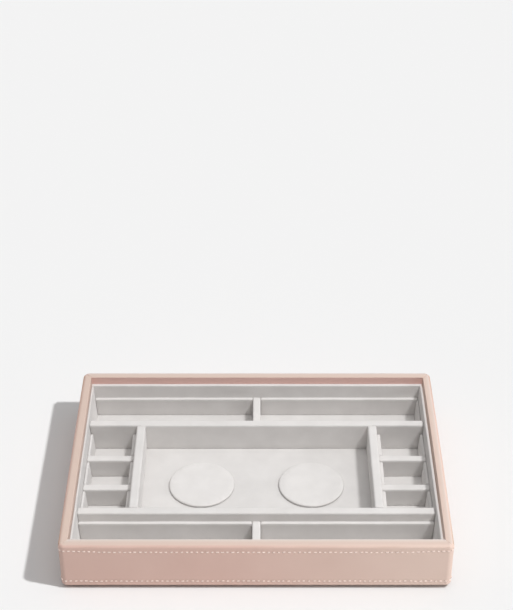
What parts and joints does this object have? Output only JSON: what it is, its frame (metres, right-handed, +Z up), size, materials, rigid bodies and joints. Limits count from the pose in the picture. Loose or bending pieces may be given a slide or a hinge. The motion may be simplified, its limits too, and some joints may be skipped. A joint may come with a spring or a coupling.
{
  "type": "bracelet tray",
  "caption": "Shallow rectangular stacking jewellery tray, wrapped in stitched leatherette and lined with velvet, with divided cells around a well that holds raised round bracelet pads.",
  "frame": {"origin": "centre of the footprint, on the surface that the tray stands on", "axes": "+X to the right along the tray's length, +Y to the back, +Z up"},
  "size_m": [0.252, 0.181, 0.0365],
  "materials": {
    "leatherette": "matt fine-grained blush leatherette",
    "velvet": "short-pile pale grey velvet",
    "fibreboard": "raw fibreboard",
    "felt": "grey felt"
  },
  "bodies": {
    "root": {"front_board": "fibreboard", "back_board": "fibreboard", "left_board": "fibreboard", "right_board": "fibreboard", "base_board": "fibreboard", "stacking_plinth": "velvet", "plinth_felt": "felt", "front_cover": "leatherette", "back_cover": "leatherette", "left_cover": "leatherette", "right_cover": "leatherette", "floor_lining": "velvet", "front_lining": "velvet", "back_lining": "velvet", "left_lining": "velvet", "right_lining": "velvet", "rear_divider": "velvet", "front_divider": "velvet", "left_divider": "velvet", "right_divider": "velvet", "rear_row_partition": "velvet", "rear_left_back_rail": "velvet", "rear_left_front_rail": "velvet", "rear_right_back_rail": "velvet", "rear_right_front_rail": "velvet", "rear_right_end_rail": "velvet", "front_row_partition": "velvet", "front_left_back_rail": "velvet", "front_left_front_rail": "velvet", "front_right_back_rail": "velvet", "front_right_front_rail": "velvet", "left_column_front_outer_rail": "velvet", "left_column_front_inner_rail": "velvet", "left_column_middle_outer_rail": "velvet", "left_column_middle_inner_rail": "velvet", "left_column_rear_outer_rail": "velvet", "left_column_rear_inner_rail": "velvet", "left_column_front_partition": "velvet", "left_column_middle_partition": "velvet", "right_column_front_outer_rail": "velvet", "right_column_front_inner_rail": "velvet", "right_column_middle_outer_rail": "velvet", "right_column_middle_inner_rail": "velvet", "right_column_rear_outer_rail": "velvet", "right_column_rear_inner_rail": "velvet", "right_column_front_partition": "velvet", "right_column_middle_partition": "velvet", "left_bracelet_pad": "velvet", "right_bracelet_pad": "velvet"}
  },
  "joints": []
}
